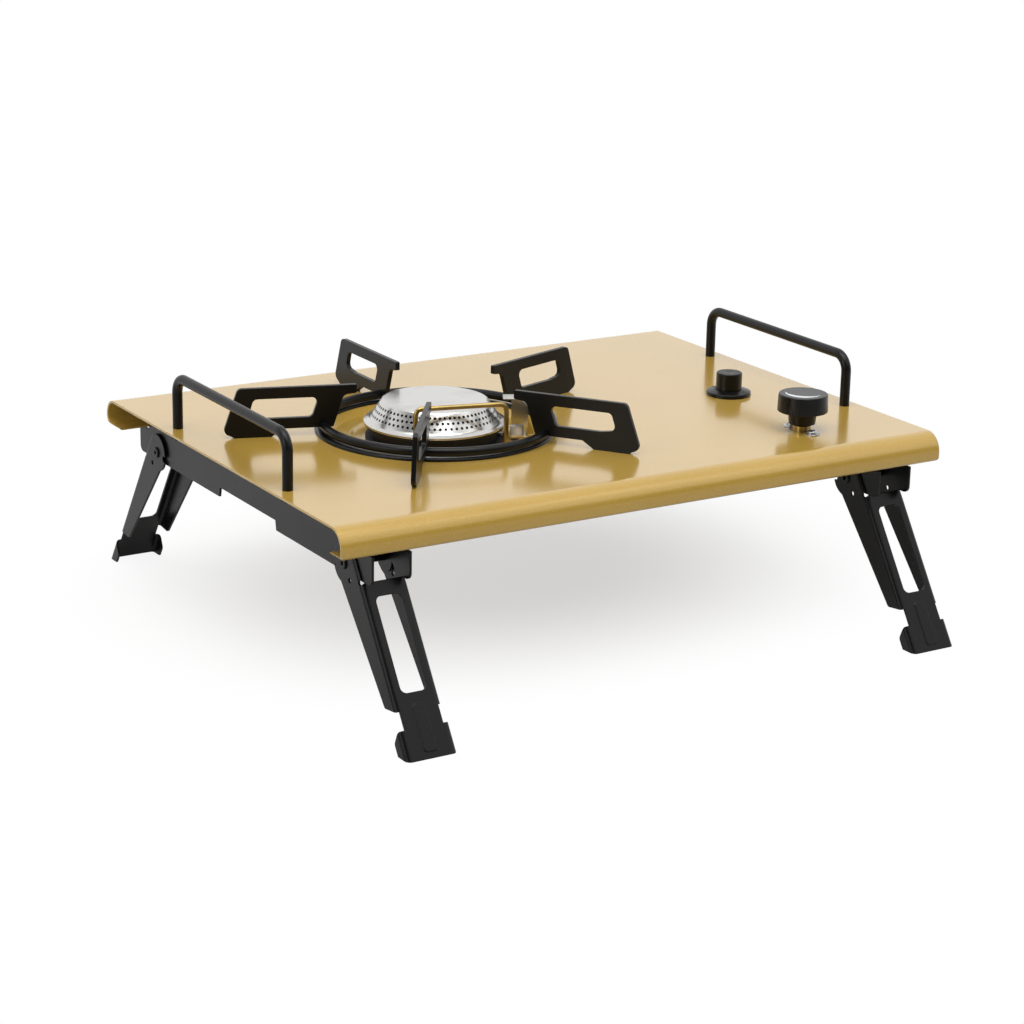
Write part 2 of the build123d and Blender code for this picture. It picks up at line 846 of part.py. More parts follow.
# Burner base: flange on the dish floor, wall under the cap, neck into the mixing tube
floor_level = -dish_floor_depth
flange_level = floor_level + base_flange_height
cap_under_lip = cap_lip_height - cap_sheet
seat_level = cap_under_lip - base_seat_gap
base_line = [
    (base_neck_bore, floor_level - base_neck_drop),
    (base_neck_radius, floor_level - base_neck_drop),
    (base_neck_radius, floor_level - 2 * base_bowl_drop),
    (base_bowl_radius, floor_level - base_bowl_drop),
    (base_bowl_radius, floor_level),
    (base_flange_radius, floor_level),
    (base_flange_radius, flange_level),
    (base_wall_radius, flange_level),
    (base_wall_radius, seat_level - base_seat_height),
    (base_flange_radius, seat_level - base_seat_height),
    (base_flange_radius, seat_level),
    (base_wall_radius - base_wall, seat_level),
    (base_wall_radius - base_wall, flange_level),
    (base_bowl_radius - base_wall, floor_level),
    (base_neck_bore, floor_level - base_bowl_drop + base_wall / 2),
]
with BuildPart() as burner_base:
    with BuildSketch(burner_section):
        with BuildLine():
            Polyline(*base_line, close=True)
        make_face()
    revolve(axis=burner_axis)
    with BuildSketch(Plane.XY.offset(top + flange_level)):
        with Locations(*base_screw_spots):
            Circle(base_screw_radius + seat_clearance)
    extrude(amount=-base_flange_height, mode=Mode.SUBTRACT)

with BuildPart() as burner_screws:
    with BuildSketch(Plane.XY.offset(top + flange_level)):
        with Locations(*base_screw_spots):
            Circle(base_screw_head_radius)
    extrude(amount=base_screw_head_height)
    with BuildSketch(Plane.XY.offset(top + flange_level)):
        with Locations(*base_screw_spots):
            Circle(base_screw_radius)
    extrude(amount=-base_screw_length)

# Burner cap: a pressed cone with staggered rows of flame ports
cap_line = [
    (0, cap_top_height),
    (cap_top_radius, cap_top_height),
    (cap_flare_radius, cap_flare_height),
    (cap_lip_radius, cap_lip_height),
]
cap_rounds = [cap_round, cap_flare_round]
cap_underline = [(radius, height - cap_sheet) for radius, height in cap_line]
cone_run = cap_flare_radius - cap_top_radius
cone_fall = cap_top_height - cap_flare_height
port_planes = []
for row in range(port_rows):
    share = port_first + row * port_step
    row_radius = cap_top_radius + share * cone_run
    row_height = cap_top_height - share * cone_fall
    for port in range(port_count):
        port_angle = radians((port + row / 2) * 360.0 / port_count)
        port_origin = (
            burner_x + row_radius * cos(port_angle),
            row_radius * sin(port_angle),
            top + row_height,
        )
        port_dir = (cone_fall * cos(port_angle), cone_fall * sin(port_angle), cone_run)
        port_planes.append(Plane(origin=port_origin, z_dir=port_dir))
with BuildPart() as burner_cap:
    with BuildSketch(burner_section):
        with BuildLine():
            FilletPolyline(*cap_line, radius=cap_rounds)
            Line(cap_line[-1], cap_underline[-1])
            FilletPolyline(*reversed(cap_underline), radius=list(reversed(cap_rounds)))
            Line(cap_underline[0], cap_line[0])
        make_face()
    revolve(axis=burner_axis)
    with Locations(*port_planes):
        Cylinder(port_radius, 4 * cap_sheet, mode=Mode.SUBTRACT)

# Mixing tube under the plate, with the jet held at its open mouth
mixer_end_x = burner_x + mixer_end_reach
mixer_plane = Plane(origin=(mixer_mouth_x, 0, mixer_z), x_dir=(0, 1, 0), z_dir=(1, 0, 0))
with BuildPart() as mixing_tube:
    with BuildSketch(mixer_plane):
        Circle(mixer_radius)
    extrude(amount=mixer_end_x - mixer_mouth_x)
    with BuildSketch(mixer_plane):
        Circle(mixer_radius - mixer_wall)
    extrude(amount=mixer_end_x - mixer_mouth_x - mixer_wall, mode=Mode.SUBTRACT)
    with BuildSketch(Plane.XY.offset(mixer_z)):
        with Locations((burner_x, 0)):
            Circle(base_neck_radius + seat_clearance)
    extrude(amount=2 * mixer_radius, mode=Mode.SUBTRACT)

holder_back = -holder_gap - holder_plate
with BuildPart() as jet_holder:
    with BuildSketch(mixer_plane.offset(holder_back)):
        Circle(mixer_radius + holder_wall)
    extrude(amount=holder_overlap - holder_back)
    with BuildSketch(mixer_plane.offset(-holder_gap)):
        Circle(mixer_radius + seat_clearance)
    extrude(amount=holder_gap + holder_overlap, mode=Mode.SUBTRACT)
    with BuildSketch(mixer_plane.offset(holder_back)):
        Circle(jet_radius + seat_clearance)
    extrude(amount=holder_plate, mode=Mode.SUBTRACT)
    with BuildSketch(mixer_plane.offset(-(holder_gap + air_slot_width) / 2)):
        Rectangle(2 * mixer_radius + 4 * holder_wall, mixer_radius)
        Rectangle(mixer_radius, 2 * mixer_radius + 4 * holder_wall)
    extrude(amount=air_slot_width, mode=Mode.SUBTRACT)

with BuildPart() as gas_jet:
    with BuildSketch(mixer_plane.offset(holder_back)):
        RegularPolygon(jet_head_flats / 2, 6, major_radius=False)
    extrude(amount=-jet_head_height)
    with BuildSketch(mixer_plane.offset(holder_back)):
        Circle(jet_radius)
    extrude(amount=jet_reach)
    with BuildSketch(mixer_plane.offset(holder_back + jet_reach)):
        Circle(jet_tip_radius)
    extrude(amount=jet_tip_length)
    with BuildSketch(mixer_plane.offset(holder_back + jet_reach + jet_tip_length)):
        Circle(jet_bore_radius)
    extrude(amount=-(jet_reach + jet_tip_length + jet_head_height), mode=Mode.SUBTRACT)

# Preheat tube: up from the union, over the cap, down to the jet
union_top = top - union_drop
union_centre = (preheat_feed_spot[0], preheat_feed_spot[1])
jet_inlet_x = mixer_mouth_x + holder_back - jet_head_height
preheat_line = [
    (union_centre[0], union_centre[1], union_top - union_socket),
    (union_centre[0], union_centre[1], top + preheat_height),
    (preheat_jet_spot[0], preheat_jet_spot[1], top + preheat_height),
    (preheat_jet_spot[0], preheat_jet_spot[1], mixer_z),
    (preheat_turn_x, preheat_jet_spot[1], mixer_z),
    (preheat_turn_x, 0, mixer_z),
    (jet_inlet_x, 0, mixer_z),
]
with BuildPart() as preheat_tube:
    with BuildLine() as preheat_path:
        FilletPolyline(*preheat_line, radius=preheat_bend)
    with BuildSketch(Plane.XY.offset(union_top - union_socket)):
        with Locations(union_centre):
            Circle(preheat_radius)
    sweep()

with BuildPart() as pipe_union:
    with BuildSketch(Plane.XY.offset(union_top)):
        with Locations(union_centre):
            Circle(union_radius)
    extrude(amount=-union_length)
    with BuildSketch(Plane.XY.offset(union_top)):
        with Locations(union_centre):
            Circle(preheat_radius + seat_clearance)
    extrude(amount=-union_socket, mode=Mode.SUBTRACT)
    with BuildSketch(Plane.XZ.offset(-union_centre[1] + union_radius)):
        with Locations((union_centre[0], feed_z)):
            Circle(pipe_radius + seat_clearance)
    extrude(amount=-union_radius, mode=Mode.SUBTRACT)

# Feed pipe from the valve to the union
valve_outlet_x = valve_x - valve_width / 2
feed_line = [
    (valve_outlet_x + pipe_socket, valve_y, feed_z),
    (union_centre[0], valve_y, feed_z),
    (union_centre[0], union_centre[1] - preheat_radius, feed_z),
]
with BuildPart() as feed_pipe:
    with BuildLine():
        FilletPolyline(*feed_line, radius=pipe_bend)
    with BuildSketch(Plane.YZ.offset(valve_outlet_x + pipe_socket)):
        with Locations((valve_y, feed_z)):
            Circle(pipe_radius)
            Circle(pipe_bore_radius, mode=Mode.SUBTRACT)
    sweep()

# Supply pipe from the inlet to the valve
inlet_inner_x = panel_x - inlet_barrel_length
valve_back_y = valve_y + valve_length / 2
supply_line = [
    (inlet_inner_x + pipe_socket, inlet_y, supply_z),
    (valve_x, inlet_y, supply_z),
    (valve_x, valve_back_y - pipe_socket, supply_z),
]
with BuildPart() as supply_pipe:
    with BuildLine():
        FilletPolyline(*supply_line, radius=pipe_bend)
    with BuildSketch(Plane.YZ.offset(inlet_inner_x + pipe_socket)):
        with Locations((inlet_y, supply_z)):
            Circle(pipe_radius)
            Circle(pipe_bore_radius, mode=Mode.SUBTRACT)
    sweep()

# Gas inlet through the right panel: barrel, hexagon and plain hose tail
inlet_plane = Plane(origin=(panel_x, inlet_y, supply_z), x_dir=(0, 1, 0), z_dir=(1, 0, 0))
with BuildPart() as gas_inlet:
    with BuildSketch(inlet_plane):
        RegularPolygon(inlet_hex_flats / 2, 6, major_radius=False)
    extrude(amount=inlet_hex_height)
    with BuildSketch(inlet_plane):
        Circle(inlet_barrel_radius)
    extrude(amount=-inlet_barrel_length)
    with BuildSketch(inlet_plane.offset(inlet_hex_height)):
        Circle(inlet_tail_radius)
    extrude(amount=inlet_tail_length)
    tail_end = gas_inlet.faces().sort_by(Axis.X)[-1]
    chamfer(tail_end.edges(), edge_break)
    with BuildSketch(inlet_plane.offset(inlet_hex_height + inlet_tail_length)):
        Circle(inlet_tail_bore)
    extrude(amount=-(inlet_hex_height + inlet_tail_length), mode=Mode.SUBTRACT)
    with BuildSketch(inlet_plane.offset(-inlet_barrel_length)):
        Circle(pipe_radius + seat_clearance)
    extrude(amount=inlet_barrel_length, mode=Mode.SUBTRACT)

with BuildPart() as inlet_nut:
    with BuildSketch(inlet_plane.offset(-panel_sheet)):
        RegularPolygon(inlet_hex_flats / 2, 6, major_radius=False)
        Circle(inlet_barrel_radius + seat_clearance, mode=Mode.SUBTRACT)
    extrude(amount=-inlet_nut_height)

# Gas valve: body under the plate, gland through it, stem up into the knob
with BuildPart() as valve_body:
    with BuildSketch(Plane.XY.offset(under)):
        with Locations((valve_x, valve_y)):
            Rectangle(valve_width, valve_length)
    extrude(amount=-valve_height)
    chamfer(valve_body.edges().filter_by(Axis.Z), valve_chamfer)
    with BuildSketch(Plane.XY.offset(under)):
        with Locations((valve_x, valve_y)):
            Circle(gland_radius + seat_clearance)
    extrude(amount=-gland_depth, mode=Mode.SUBTRACT)
    with BuildSketch(Plane.XY.offset(under)):
        with Locations(*valve_screw_spots):
            Circle(valve_screw_radius + seat_clearance)
    extrude(amount=-valve_screw_length, mode=Mode.SUBTRACT)
    with BuildSketch(Plane.YZ.offset(valve_outlet_x)):
        with Locations((valve_y, feed_z)):
            Circle(pipe_radius + seat_clearance)
    extrude(amount=pipe_socket, mode=Mode.SUBTRACT)
    with BuildSketch(Plane.XZ.offset(-valve_back_y)):
        with Locations((valve_x, supply_z)):
            Circle(pipe_radius + seat_clearance)
    extrude(amount=pipe_socket, mode=Mode.SUBTRACT)

with BuildPart() as valve_gland:
    with BuildSketch(Plane.XY.offset(top + gland_rise)):
        with Locations((valve_x, valve_y)):
            Circle(gland_radius)
    extrude(amount=-(gland_rise + deck_sheet + gland_depth))
    gland_rim = valve_gland.faces().sort_by(Axis.Z)[-1].edges()
    chamfer(gland_rim, edge_break)
    with BuildSketch(Plane.XY.offset(top + gland_rise)):
        with Locations((valve_x, valve_y)):
            Circle(stem_radius + running_clearance)
    extrude(amount=-(gland_rise + deck_sheet + gland_depth), mode=Mode.SUBTRACT)

with BuildPart() as valve_stem:
    with BuildSketch(Plane.XY.offset(top - stem_low)):
        with Locations((valve_x, valve_y)):
            Circle(stem_radius)
    extrude(amount=stem_low + stem_high)
    with BuildSketch(Plane.XY.offset(top + knob_neck_low)):
        with Locations((valve_x, valve_y + stem_flat)):
            Rectangle(2 * stem_radius, stem_radius, align=(Align.CENTER, Align.MIN))
    extrude(amount=stem_high, mode=Mode.SUBTRACT)

with BuildPart() as valve_screws:
    with BuildSketch(Plane.XY.offset(top)):
        with Locations(*valve_screw_spots):
            Circle(valve_screw_head_radius)
    extrude(amount=valve_screw_head_height)
    head_tops = valve_screws.faces().filter_by(Axis.Z).group_by(Axis.Z)[-1]
    fillet(head_tops.edges(), valve_screw_head_height / 2)
    with BuildSketch(Plane.XY.offset(top)):
        with Locations(*valve_screw_spots):
            Circle(valve_screw_radius)
    extrude(amount=-valve_screw_length)
    with BuildSketch(Plane.XY.offset(top + valve_screw_head_height)):
        with Locations(*valve_screw_spots):
            Rectangle(2 * valve_screw_head_radius, screw_slot_width)
    extrude(amount=-screw_slot_depth, mode=Mode.SUBTRACT)

# Control knob: fluted cap on a narrower neck
knob_line = [
    (0, knob_neck_low),
    (knob_neck_radius_low, knob_neck_low),
    (knob_neck_radius_high, knob_low),
    (knob_radius_low, knob_low),
    (knob_radius_high, knob_high),
    (0, knob_high),
]
flute_radius_at = knob_radius_low + knob_flute_radius - knob_flute_depth
with BuildPart() as control_knob:
    with BuildSketch(valve_section):
        with BuildLine():
            FilletPolyline(*knob_line, radius=[0, 0, 0, knob_round / 2, knob_round, 0], close=True)
        make_face()
    revolve(axis=valve_axis)
    with BuildSketch(Plane.XY.offset(top + knob_low)):
        with Locations((valve_x, valve_y)):
            with PolarLocations(flute_radius_at, knob_flute_count):
                Circle(knob_flute_radius)
    extrude(amount=knob_high - knob_low, mode=Mode.SUBTRACT)
    with BuildSketch(Plane.XY.offset(top + knob_neck_low)):
        with Locations((valve_x, valve_y)):
            Circle(stem_radius + seat_clearance)
        with Locations((valve_x, valve_y + stem_flat + seat_clearance)):
            Rectangle(
                3 * stem_radius,
                2 * stem_radius,
                align=(Align.CENTER, Align.MIN),
                mode=Mode.SUBTRACT,
            )
    extrude(amount=stem_high - knob_neck_low + knob_bore_roof, mode=Mode.SUBTRACT)

# Igniter: collar with a barrel through the plate, nut, button and piezo body
collar_line = [
    (button_radius + running_clearance, -deck_sheet - barrel_drop),
    (barrel_radius, -deck_sheet - barrel_drop),
    (barrel_radius, 0),
    (collar_radius, 0),
    (collar_radius, collar_rim),
    (button_radius + collar_rim / 2, collar_dome),
    (button_radius + running_clearance, collar_dome),
]
with BuildPart() as igniter_collar:
    with BuildSketch(igniter_section):
        with BuildLine():
            FilletPolyline(
                *collar_line,
                radius=[0, 0, 0, 0, collar_round, collar_round, 0],
                close=True,
            )
        make_face()
    revolve(axis=igniter_axis)

button_line = [
    (0, -button_low - plunger_length),
    (plunger_radius, -button_low - plunger_length),
    (plunger_radius, -button_low),
    (button_radius, -button_low),
    (button_radius, button_high),
    (button_radius / 2, button_high),
    (0, button_high - button_dish),
]
with BuildPart() as igniter_button:
    with BuildSketch(igniter_section):
        with BuildLine():
            FilletPolyline(*button_line, radius=[0, 0, 0, 0, button_round, 0, 0], close=True)
        make_face()
    revolve(axis=igniter_axis)

with BuildPart() as igniter_nut:
    with BuildSketch(Plane.XY.offset(under)):
        with Locations((igniter_x, igniter_y)):
            RegularPolygon(igniter_nut_flats / 2, 6, major_radius=False)
            Circle(barrel_radius + seat_clearance, mode=Mode.SUBTRACT)
    extrude(amount=-igniter_nut_height)

piezo_top = under - barrel_drop
plunger_room = plunger_length + button_low + button_travel + plunger_spare - deck_sheet - barrel_drop
terminal_x = igniter_x - piezo_radius - terminal_length
terminal_z = top - terminal_drop
with BuildPart() as piezo_body:
    with BuildSketch(Plane.XY.offset(piezo_top)):
        with Locations((igniter_x, igniter_y)):
            Circle(piezo_radius)
    extrude(amount=-piezo_height)
    with BuildSketch(Plane.XY.offset(piezo_top)):
        with Locations((igniter_x, igniter_y)):
            Circle(plunger_radius + 5 * running_clearance)
    extrude(amount=-plunger_room, mode=Mode.SUBTRACT)
    with BuildSketch(Plane.YZ.offset(terminal_x)):
        with Locations((igniter_y, terminal_z)):
            Circle(terminal_radius)
    extrude(amount=terminal_length + piezo_radius / 3)

# Ignition lead from the piezo body to the electrode, held by a clip under the plate
clip_x = (burner_x + dish_rim_radius + terminal_x) / 2
lead_dive = round_burner(electrode_radius, electrode_angle, -insulator_tail - lead_dip)
lead_line = [
    (terminal_x, igniter_y, terminal_z),
    (insulator_low[0] + lead_turn_reach, igniter_y, terminal_z),
    lead_dive,
    insulator_low,
]
with BuildPart() as ignition_lead:
    with BuildLine():
        FilletPolyline(*lead_line, radius=lead_bend)
    with BuildSketch(Plane.YZ.offset(terminal_x)):
        with Locations((igniter_y, terminal_z)):
            Circle(lead_radius)
    sweep()

with BuildPart() as lead_clip:
    with BuildSketch(Plane.YZ.offset(clip_x - clip_width / 2)):
        with Locations((igniter_y, terminal_z)):
            Circle(lead_radius + clip_sheet)
        with Locations((igniter_y, terminal_z)):
            Rectangle(clip_sheet, under - terminal_z, align=(Align.CENTER, Align.MIN))
        with Locations((igniter_y, under)):
            Rectangle(clip_width, clip_sheet, align=(Align.MIN, Align.MAX))
        with Locations((igniter_y, terminal_z)):
            Circle(lead_radius + seat_clearance, mode=Mode.SUBTRACT)
    extrude(amount=clip_width)

# Ignition electrode: wire in a collared ceramic insulator, under an open steel hood
plate_level = bracket_plate - dish_ledge_depth
collar_level = plate_level + insulator_collar_height
with BuildPart() as electrode_insulator:
    with BuildSketch(Plane.XY.offset(top + collar_level)):
        with Locations(electrode_spot[:2]):
            Circle(insulator_radius)
    extrude(amount=-(collar_level + insulator_tail))
    with BuildSketch(Plane.XY.offset(top + collar_level)):
        with Locations(electrode_spot[:2]):
            Circle(insulator_collar_radius)
    extrude(amount=-insulator_collar_height)
    rims = electrode_insulator.edges().filter_by(GeomType.CIRCLE).sort_by(Axis.Z)
    chamfer(rims[-1], insulator_radius / 4)
    with BuildSketch(Plane.XY.offset(top + collar_level)):
        with Locations(electrode_spot[:2]):
            Circle(electrode_wire_radius + seat_clearance)
    extrude(amount=-electrode_wire_depth, mode=Mode.SUBTRACT)

with BuildPart() as electrode_wire:
    with BuildSketch(Plane.XY.offset(top + electrode_height)):
        with Locations(electrode_spot[:2]):
            Circle(electrode_wire_radius)
    extrude(amount=collar_level - electrode_wire_depth - electrode_height)

hood_line = [
    (hood_back, plate_level),
    (hood_back, hood_height),
    (hood_roof_front, hood_height),
    (hood_roof_front, hood_height - hood_sheet),
    (hood_wall_front, hood_height - hood_sheet),
    (hood_wall_front, hood_wall_low),
    (hood_back - hood_sheet, hood_wall_low),
    (hood_back - hood_sheet, plate_level),
]
hood_hollow = [
    (hood_roof_front, plate_level - bracket_plate),
    (hood_back - hood_sheet, plate_level - bracket_plate),
    (hood_back - hood_sheet, hood_height - hood_sheet),
    (hood_roof_front, hood_height - hood_sheet),
]
with BuildPart() as electrode_hood:
    with BuildSketch(electrode_section):
        with BuildLine():
            FilletPolyline(*hood_line, radius=[0, hood_round, 0, 0, 0, 0, 0, 0], close=True)
        make_face()
    extrude(amount=hood_width / 2, both=True)
    with BuildSketch(electrode_section):
        with BuildLine():
            FilletPolyline(*hood_hollow, radius=[0, 0, hood_round - hood_sheet, 0], close=True)
        make_face()
    extrude(amount=hood_width / 2 - hood_sheet, both=True, mode=Mode.SUBTRACT)

gusset_front = hood_back + gusset_gap
gusset_line = [
    (gusset_front, plate_level),
    (bracket_back, plate_level),
    (gusset_front, plate_level + gusset_height),
]
with BuildPart() as electrode_bracket:
    with BuildSketch(electrode_section):
        with Locations((bracket_front, -dish_ledge_depth)):
            Rectangle(bracket_back - bracket_front, bracket_plate, align=(Align.MIN, Align.MIN))
    extrude(amount=bracket_width / 2, both=True)
    with BuildSketch(electrode_section):
        with BuildLine():
            Polyline(*gusset_line, close=True)
        make_face()
    extrude(amount=gusset_sheet / 2, both=True)
    with BuildSketch(Plane.XY.offset(top)):
        with Locations(electrode_screw_centre):
            Circle(electrode_screw_radius + seat_clearance)
        with Locations(electrode_spot[:2]):
            Circle(insulator_radius + seat_clearance)
    extrude(amount=-dish_floor_depth, mode=Mode.SUBTRACT)

with BuildPart() as electrode_screw:
    with BuildSketch(Plane.XY.offset(top + plate_level)):
        with Locations(electrode_screw_centre):
            Circle(electrode_screw_head_radius)
    extrude(amount=electrode_screw_head_height)
    with BuildSketch(Plane.XY.offset(top + plate_level)):
        with Locations(electrode_screw_centre):
            Circle(electrode_screw_radius)
    extrude(amount=-electrode_screw_length)

pieces = {
    "top_plate": top_plate.part,
    "left_side_panel": left_side_panel.part,
    "right_side_panel": right_side_panel.part,
    "hinge_bracket_front_left": hinge_bracket_front_left.part,
    "hinge_bracket_front_right": hinge_bracket_front_right.part,
    "hinge_bracket_back_left": hinge_bracket_back_left.part,
    "hinge_bracket_back_right": hinge_bracket_back_right.part,
    "hinge_pin_front_left": hinge_pin_front_left.part,
    "hinge_pin_front_right": hinge_pin_front_right.part,
    "hinge_pin_back_left": hinge_pin_back_left.part,
    "hinge_pin_back_right": hinge_pin_back_right.part,
    "leg_front_left": leg_front_left.part,
    "leg_front_right": leg_front_right.part,
    "leg_back_left": leg_back_left.part,
    "leg_back_right": leg_back_right.part,
    "left_guard_rail": left_guard_rail.part,
    "right_guard_rail": right_guard_rail.part,
    "guard_nuts": guard_nuts.part,
    "trim_ring": trim_ring.part,
    "trivet_ring": trivet_ring.part,
    "burner_base": burner_base.part,
    "burner_cap": burner_cap.part,
    "burner_screws": burner_screws.part,
    "mixing_tube": mixing_tube.part,
    "jet_holder": jet_holder.part,
    "gas_jet": gas_jet.part,
    "preheat_tube": preheat_tube.part,
    "pipe_union": pipe_union.part,
    "feed_pipe": feed_pipe.part,
    "supply_pipe": supply_pipe.part,
    "gas_inlet": gas_inlet.part,
    "inlet_nut": inlet_nut.part,
    "valve_body": valve_body.part,
    "valve_gland": valve_gland.part,
    "valve_stem": valve_stem.part,
    "valve_screws": valve_screws.part,
    "control_knob": control_knob.part,
    "igniter_collar": igniter_collar.part,
    "igniter_button": igniter_button.part,
    "igniter_nut": igniter_nut.part,
    "piezo_body": piezo_body.part,
    "ignition_lead": ignition_lead.part,
    "lead_clip": lead_clip.part,
    "electrode_wire": electrode_wire.part,
    "electrode_insulator": electrode_insulator.part,
    "electrode_hood": electrode_hood.part,
    "electrode_bracket": electrode_bracket.part,
    "electrode_screw": electrode_screw.part,
}
for support_number, support in enumerate(pot_supports, start=1):
    pieces[f"pot_support_{support_number}"] = support

os.makedirs("parts", exist_ok=True)
for name, piece in pieces.items():
    piece.label = name
    export_step(piece, f"parts/{name}.step")
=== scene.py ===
import bmesh
import bpy
import json
from math import atan2, cos, pi, radians, sin
from mathutils import Matrix, Vector


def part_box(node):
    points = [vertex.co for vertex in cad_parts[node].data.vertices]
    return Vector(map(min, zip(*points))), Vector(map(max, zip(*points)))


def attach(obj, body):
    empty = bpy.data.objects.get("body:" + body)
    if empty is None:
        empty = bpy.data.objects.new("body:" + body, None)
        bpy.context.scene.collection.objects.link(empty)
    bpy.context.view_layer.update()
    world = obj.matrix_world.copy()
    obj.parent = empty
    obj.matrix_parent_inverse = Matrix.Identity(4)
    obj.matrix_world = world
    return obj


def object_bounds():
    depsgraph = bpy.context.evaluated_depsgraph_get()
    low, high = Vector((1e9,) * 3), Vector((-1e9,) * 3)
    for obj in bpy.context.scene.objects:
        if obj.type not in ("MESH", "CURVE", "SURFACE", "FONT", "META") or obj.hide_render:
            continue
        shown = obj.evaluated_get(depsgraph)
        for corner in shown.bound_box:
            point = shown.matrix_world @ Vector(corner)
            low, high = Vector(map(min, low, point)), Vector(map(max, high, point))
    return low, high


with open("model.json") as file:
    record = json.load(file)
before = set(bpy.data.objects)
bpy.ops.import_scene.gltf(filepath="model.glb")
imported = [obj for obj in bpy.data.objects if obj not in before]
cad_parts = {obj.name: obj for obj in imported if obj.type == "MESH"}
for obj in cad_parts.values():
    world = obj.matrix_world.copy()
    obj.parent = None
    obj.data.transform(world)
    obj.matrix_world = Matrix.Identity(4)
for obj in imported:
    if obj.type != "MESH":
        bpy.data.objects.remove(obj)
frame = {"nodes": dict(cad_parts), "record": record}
cadBox = [list(corner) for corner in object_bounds()]
print("stage: frame loaded,", len(frame["nodes"]), "nodes")

mm = 0.001
weldMm = 0.002    # points closer than this become one
edgeSamples = 4   # rays that round an edge in the shader


def linear(code):  # sRGB hex to the linear colour that the shaders work in
    parts = [int(code[i:i + 2], 16) / 255 for i in (1, 3, 5)]
    return tuple(p / 12.92 if p <= 0.04045 else ((p + 0.055) / 1.055) ** 2.4 for p in parts) + (1.0,)


# Values are set and sockets are linked. A Mix node goes by number: 0 is its factor, 2 and 3 its
# two numbers, 6 and 7 its two colours
def addNode(tree, kind, inputs=None, **settings):
    node = tree.nodes.new(kind)
    for name, value in settings.items():
        setattr(node, name, value)
    for socket, value in (inputs or {}).items():
        if isinstance(value, bpy.types.NodeSocket):
            tree.links.new(value, node.inputs[socket])
        else:
            node.inputs[socket].default_value = value
    return node


def startMaterial(name, sockets):
    material = bpy.data.materials.new(name)
    material.use_nodes = True
    tree = material.node_tree
    shader = tree.nodes["Principled BSDF"]
    for socket, value in sockets.items():
        shader.inputs[socket].default_value = value
    place = addNode(tree, "ShaderNodeTexCoord").outputs["Object"]
    return material, tree, shader, place


def twoTone(name, sockets, look):  # two tones blended by one noise, a second noise for the skin
    material, tree, shader, place = startMaterial(name, sockets)
    noises = {}
    for part in ("blend", "skin"):
        noise = addNode(tree, "ShaderNodeTexNoise", {
            "Vector": place, "Scale": 1 / (look[part + "Mm"] * mm), "Detail": look[part + "Detail"]})
        noises[part] = noise.outputs[0]
    start, end, most = look["share"]
    share = addNode(tree, "ShaderNodeMapRange", {
        "Value": noises["blend"], "From Min": start, "From Max": end, "To Max": most})
    first, second = (linear(code) for code in look["tones"])
    colour = addNode(tree, "ShaderNodeMix", {0: share.outputs[0], 6: first, 7: second}, data_type="RGBA")
    smooth, rough = look["roughness"]
    soften = addNode(tree, "ShaderNodeMapRange", {
        "Value": noises[look["roughFrom"]], "To Min": smooth, "To Max": rough})
    bump = addNode(tree, "ShaderNodeBump", {
        "Height": noises["skin"], "Strength": look["bump"], "Distance": look["depthMm"] * mm})
    if "edgeMm" in look:
        edge = addNode(tree, "ShaderNodeBevel", {"Radius": look["edgeMm"] * mm}, samples=edgeSamples)
        tree.links.new(edge.outputs[0], bump.inputs["Normal"])
    tree.links.new(colour.outputs[2], shader.inputs["Base Color"])
    tree.links.new(soften.outputs[0], shader.inputs["Roughness"])
    tree.links.new(bump.outputs[0], shader.inputs["Normal"])
    return material


def finishPiece(bm, name, material, body):
    bmesh.ops.remove_doubles(bm, verts=bm.verts[:], dist=weldMm * mm)
    bmesh.ops.recalc_face_normals(bm, faces=bm.faces[:])
    mesh = bpy.data.meshes.new(name)
    bm.to_mesh(mesh)
    bm.free()
    mesh.materials.append(material)
    piece = bpy.data.objects.new(name, mesh)
    bpy.context.scene.collection.objects.link(piece)
    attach(piece, body)


# Places that the pieces below share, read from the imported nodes
capLow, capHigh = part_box("burner_cap")
knobLow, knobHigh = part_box("control_knob")
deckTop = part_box("trim_ring")[0].z
burnerSpot = (capLow + capHigh) / 2
knobSpot = (knobLow + knobHigh) / 2

# Baked satin metallic paint on pressed steel: a clear gloss film over tiny bright flakes,
# so the sheet goes pale where it mirrors the studio and deep gold where something dark stands
paintLook = {
    "body": "#BC9842", "flake": "#D8BA6A", "deep": "#B08D3A",
    "flakeMm": 0.8,    # real flake is under 0.05 mm, drawn coarser so that it shows
    "flakeShare": (0.45, 0.75, 0.24),    # noise where it starts and ends, and the most of it
    "driftMm": 90.0, "driftShare": (0.35, 0.7, 0.4),
    "peelMm": 2.6, "peelBump": 0.5, "peelDepthMm": 0.012, "roughness": (0.17, 0.25), "edgeMm": 0.7,
}
goldPaint, tree, shader, place = startMaterial("satinMetallicPaint", {
    "Metallic": 0.1, "IOR": 1.5, "Coat Weight": 0.75, "Coat IOR": 1.5, "Coat Roughness": 0.13,
})
flakes = addNode(tree, "ShaderNodeTexNoise",
                 {"Vector": place, "Scale": 1 / (paintLook["flakeMm"] * mm), "Detail": 1.0})
start, end, most = paintLook["flakeShare"]
flakeShare = addNode(tree, "ShaderNodeMapRange", {
    "Value": flakes.outputs[0], "From Min": start, "From Max": end, "To Max": most})
drift = addNode(tree, "ShaderNodeTexNoise",
                {"Vector": place, "Scale": 1 / (paintLook["driftMm"] * mm), "Detail": 2.0})
start, end, most = paintLook["driftShare"]
driftShare = addNode(tree, "ShaderNodeMapRange", {
    "Value": drift.outputs[0], "From Min": start, "From Max": end, "To Max": most})
ground = addNode(tree, "ShaderNodeMix", {
    0: driftShare.outputs[0], 6: linear(paintLook["body"]), 7: linear(paintLook["deep"]),
}, data_type="RGBA")
